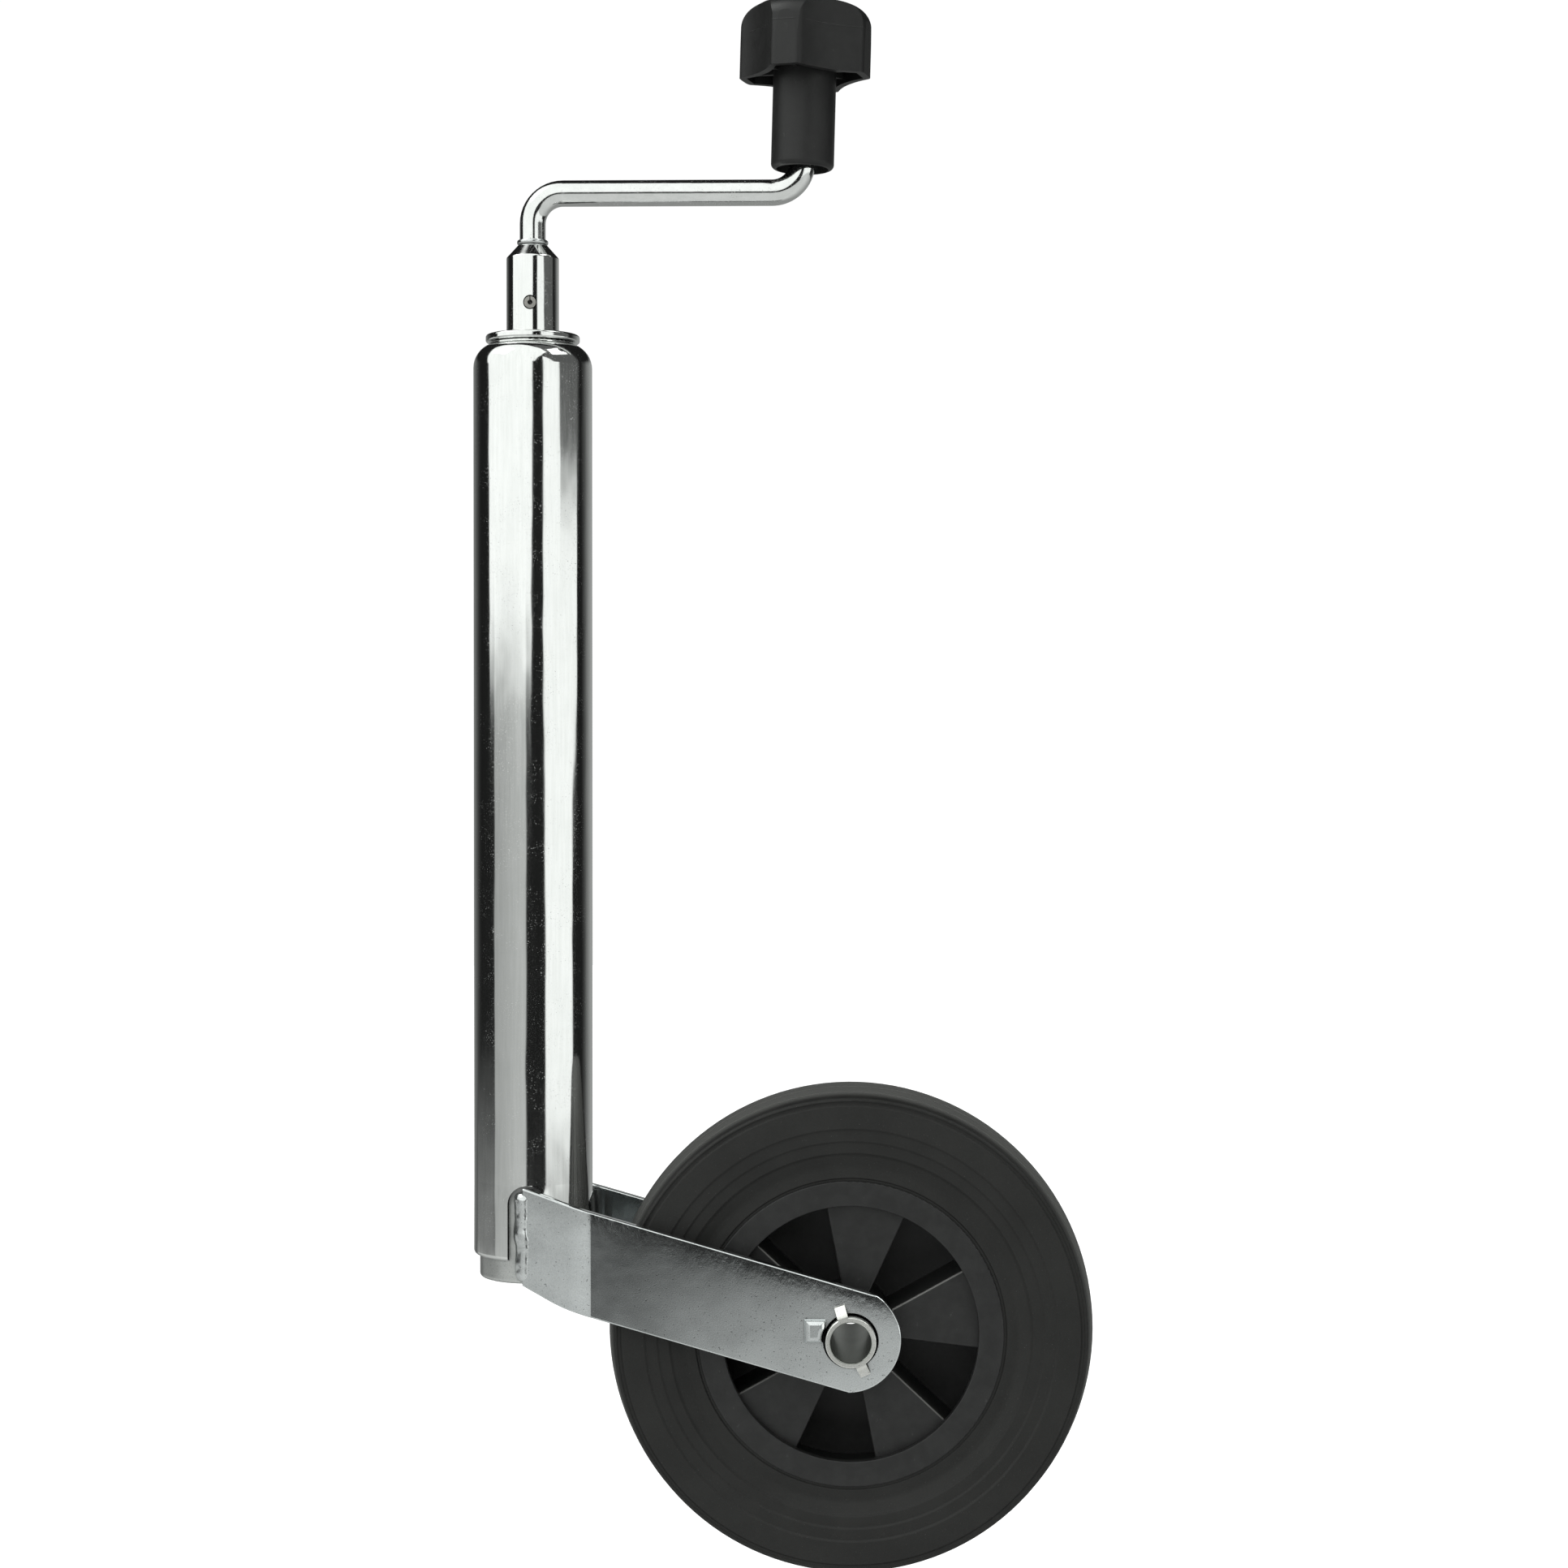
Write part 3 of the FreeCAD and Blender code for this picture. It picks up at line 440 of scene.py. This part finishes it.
def bead_ring(side, along, bottom, top, leg_radius):
    """One loop of points round the bead, at a share of its height, in millimetres."""
    z = bottom + (top - bottom) * along
    end = min((z - bottom) / BEAD_ROUND_FOOT, (top - z) / BEAD_ROUND_TOP, 1.0)
    girth = math.sqrt(max(1 - (1 - end) ** 2, 0.0)) + 0.02
    sway = noise.noise(Vector((z / 9, side, 0))) * BEAD_SWAY
    points = []
    for i in range(BEAD_SIDES):
        turn = 2 * math.pi * i / BEAD_SIDES
        cross = math.cos(turn)
        # ripples left by the moving arc droop at both edges of the bead
        step = (z + BEAD_RIPPLE_DROOP * abs(cross)) / BEAD_RIPPLE_PITCH
        ripple = abs(math.sin(math.pi * step)) ** 0.6
        rough = noise.noise(Vector((cross * 1.7, z / 1.9, math.sin(turn) * 1.7 + 5 * side)))
        swell = noise.noise(Vector((cross * 0.6, z / 6, 11 * side)))
        reach = girth * (1 + 0.02 * ripple + 0.02 * rough + 0.14 * swell)
        aside = BEAD_REACH * reach * cross
        out = leg_radius + BEAD_PROUD + 0.4 * aside
        points.append((
            BEAD_X + sway + aside,
            side * out + BEAD_REACH * reach * math.sin(turn),
            z,
        ))
    return points


def weld_beads():
    """The two upright beads that join the fork arms' cut ends to the leg."""
    low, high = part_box("fork_welds")
    leg_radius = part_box("inner_tube")[1].x * 1000
    bottom = low.z * 1000 + BEAD_FOOT
    top = high.z * 1000 + BEAD_TOP
    mesh = bmesh.new()
    for side in (-1, 1):
        rows = []
        for row in range(BEAD_ROWS + 1):
            ring = bead_ring(side, row / BEAD_ROWS, bottom, top, leg_radius)
            rows.append([mesh.verts.new(Vector(point) / 1000) for point in ring])
        for one, other in zip(rows, rows[1:]):
            for i in range(BEAD_SIDES):
                j = (i + 1) % BEAD_SIDES
                mesh.faces.new((one[i], one[j], other[j], other[i]))
        mesh.faces.new(rows[0][::-1])
        mesh.faces.new(rows[-1])
    bmesh.ops.recalc_face_normals(mesh, faces=mesh.faces)
    for face in mesh.faces:
        face.smooth = True
    data = bpy.data.meshes.new("weld_beads")
    mesh.to_mesh(data)
    mesh.free()
    data.materials.append(MATERIALS["weld_zinc"])
    beads = bpy.data.objects.new("weld_beads", data)
    bpy.context.scene.collection.objects.link(beads)
    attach(beads, "leg")
    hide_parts("fork_welds")


weld_beads()


# ---------------------------------------------------------------- studio

def studio_world():
    """Soft boxes round the object as a function of direction, and a white backdrop."""
    world = bpy.data.worlds.new("studio")
    bpy.context.scene.world = world
    world.use_nodes = True
    g = Graph(world.node_tree)
    world.node_tree.nodes.clear()
    way = g.node("ShaderNodeTexCoord").outputs["Generated"]
    parts = g.node("ShaderNodeSeparateXYZ")
    g.plug(parts.inputs[0], way)
    x, y, z = parts.outputs
    # azimuth from the front towards +X, and elevation, in degrees
    az = g.mul(g.math("ARCTAN2", x, g.mul(y, -1.0)), math.degrees(1))
    el = g.mul(g.math("ARCSINE", z), math.degrees(1))

    # the key box stands on the left and leans over the object
    ahead = Vector((math.sin(KEY_TURN), -math.cos(KEY_TURN), 0))
    facing = ahead * math.cos(KEY_LEAN) + Vector((0, 0, math.sin(KEY_LEAN)))
    up = Vector((0, 0, math.cos(KEY_LEAN))) - ahead * math.sin(KEY_LEAN)
    side = Vector((math.cos(KEY_TURN), math.sin(KEY_TURN), 0))
    depth = g.dot(way, facing)
    safe = g.high(depth, 0.02)
    across = g.math("DIVIDE", g.dot(way, side), safe)
    along = g.math("DIVIDE", g.dot(way, up), safe)
    key = g.mul(
        g.band(across, -1.20, 1.20, 0.05),
        g.band(along, -0.72, 1.05, 0.04),
        g.ramp(depth, 0.0, 0.1),
    )

    # below it a paler reflector, and on the right the second box with a sloping top
    below = g.ramp(el, 2.0, 3.4, 1.0, 0.0)
    brighter = g.ramp(el, -8.4, -10.0, 1.0, 1.3)
    left_glow = g.mul(g.ramp(az, -75, -10, 0.36, 0.48), brighter)
    reflector = g.mul(g.band(az, -75.0, -7.5, 2.0), below, left_glow)
    box_top = g.high(g.sub(29.0, g.mul(g.sub(az, 27.0), 0.68)), 5.3)
    right_edge = g.ramp(el, -1.5, 1.5, 88.0, 101.0)
    fill = g.mul(
        g.band(az, g.ramp(el, -1.0, 1.0, 29.5, 26.0), right_edge, 2.0),
        g.ramp(g.sub(el, box_top), -0.8, 0.8, 1.0, 0.0),
        g.ramp(el, -8.2, -7.4, 0.52, 1.02),
    )
    above_fill = g.mul(g.band(az, 30.0, 105.0, 5.0), g.ramp(g.sub(el, box_top), -0.8, 0.8), 0.09)

    # the table in front and on the left, and the lit wall behind
    turned = g.mul(g.low(g.high(az, -8.0), 6.0), 0.8)
    front_level = g.ramp(g.sub(turned, el), 6.2, 12.8, 0.03, 0.62, smooth=False)
    level = g.mul(front_level, g.ramp(g.math("ABSOLUTE", az), 60, 150, 1.0, 0.45))
    table = g.mul(g.ramp(g.add(el, g.ramp(az, 0.0, 5.0, 0.0, 1.4)), -9.4, -10.2), level)
    left_level = g.ramp(el, -9.5, -10.0, 0.18, 0.50)
    left_table = g.mul(g.ramp(el, -5.0, -9.5), g.band(az, -135.0, -74.0, 6.0), left_level)
    wall_low = g.mul(g.band(el, -20.0, 14.0, 4.0), 0.32)
    wall = g.mul(g.add(g.ramp(az, -112, -185), g.ramp(az, 112, 160)), wall_low)

    # two small bright boxes high on either side, which light the edges that face up
    sides = g.add(g.band(az, 52.0, 98.0, 4.0), g.band(az, -100.0, -58.0, 4.0))
    high_boxes = g.mul(sides, g.band(el, 40.0, 62.0, 3.0), 3.2)

    total = 0.012
    for light in (g.mul(key, 1.06), reflector, fill, above_fill, wall, high_boxes):
        total = g.add(total, light)
    total = g.high(g.high(total, table), left_table)
    colour = g.node("ShaderNodeCombineColor")
    for socket, share in zip(colour.inputs, (0.975, 1.0, 0.98)):
        g.plug(socket, g.mul(total, share))

    studio = g.node("ShaderNodeBackground")
    g.plug(studio.inputs["Color"], colour.outputs[0])
    backdrop = g.node("ShaderNodeBackground")
    backdrop.inputs["Color"].default_value = (1, 1, 1, 1)
    backdrop.inputs["Strength"].default_value = BACKDROP_STRENGTH
    choice = g.node("ShaderNodeMixShader")
    g.plug(choice.inputs[0], g.node("ShaderNodeLightPath").outputs["Is Camera Ray"])
    g.plug(choice.inputs[1], studio.outputs[0])
    g.plug(choice.inputs[2], backdrop.outputs[0])
    g.plug(g.node("ShaderNodeOutputWorld").inputs["Surface"], choice.outputs[0])


def leg_travel():
    """How far the leg winds down, in metres."""
    joints = frame["record"]["behaviour"]["joints"]
    return next(joint["range_m"][1] for joint in joints if joint["name"] == "leg_slide")


def studio_floor():
    """A pale disc, which the wheel reaches when the leg is wound right down.

    The camera sees it from above only, and reflections leave it out.
    """
    made = bpy.data.materials.new("floor_paper")
    made.use_nodes = True
    g = Graph(made.node_tree)
    made.node_tree.nodes.clear()
    paper = g.node("ShaderNodeBsdfDiffuse")
    fibre = g.noise(g.place(), 2.0, 2.0)
    g.plug(paper.inputs["Color"], g.mix(fibre, shade(0.42), shade(0.46)))
    glow = g.node("ShaderNodeEmission")
    glow.inputs["Strength"].default_value = 0.98
    both = g.node("ShaderNodeAddShader")
    g.plug(both.inputs[0], paper.outputs[0])
    g.plug(both.inputs[1], glow.outputs[0])
    top_only = g.node("ShaderNodeMixShader")
    g.plug(top_only.inputs[0], g.node("ShaderNodeNewGeometry").outputs["Backfacing"])
    g.plug(top_only.inputs[1], both.outputs[0])
    g.plug(top_only.inputs[2], g.node("ShaderNodeBsdfTransparent").outputs[0])
    g.plug(g.node("ShaderNodeOutputMaterial").inputs["Surface"], top_only.outputs[0])

    height = cad_low.z - leg_travel() - FLOOR_GAP_M
    middle_x = (cad_low.x + cad_high.x) / 2
    ring = []
    for i in range(FLOOR_SIDES):
        turn = 2 * math.pi * i / FLOOR_SIDES
        ring.append((
            middle_x + FLOOR_RADIUS_M * math.cos(turn),
            FLOOR_RADIUS_M * math.sin(turn),
            height,
        ))
    mesh = bpy.data.meshes.new("floor")
    mesh.from_pydata(ring, [], [tuple(range(FLOOR_SIDES))])
    mesh.materials.append(made)
    floor = bpy.data.objects.new("floor", mesh)
    bpy.context.scene.collection.objects.link(floor)
    floor.visible_glossy = False
    floor.visible_diffuse = False
    floor.visible_transmission = False
    floor.visible_shadow = False


def camera():
    """A camera a little above the object's middle, tilted slightly down at the wheel's face."""
    data = bpy.data.cameras.new("camera")
    data.sensor_width = 36.0
    data.lens = CAMERA_LENS
    data.clip_start = 0.05
    data.clip_end = 50.0
    made = bpy.data.objects.new("camera", data)
    bpy.context.scene.collection.objects.link(made)
    made.location = CAMERA_PLACE_M
    made.rotation_euler = (CAMERA_TILT, 0, CAMERA_TURN)
    bpy.context.scene.camera = made


studio_world()
studio_floor()
camera()
bpy.context.scene.view_settings.view_transform = "Standard"
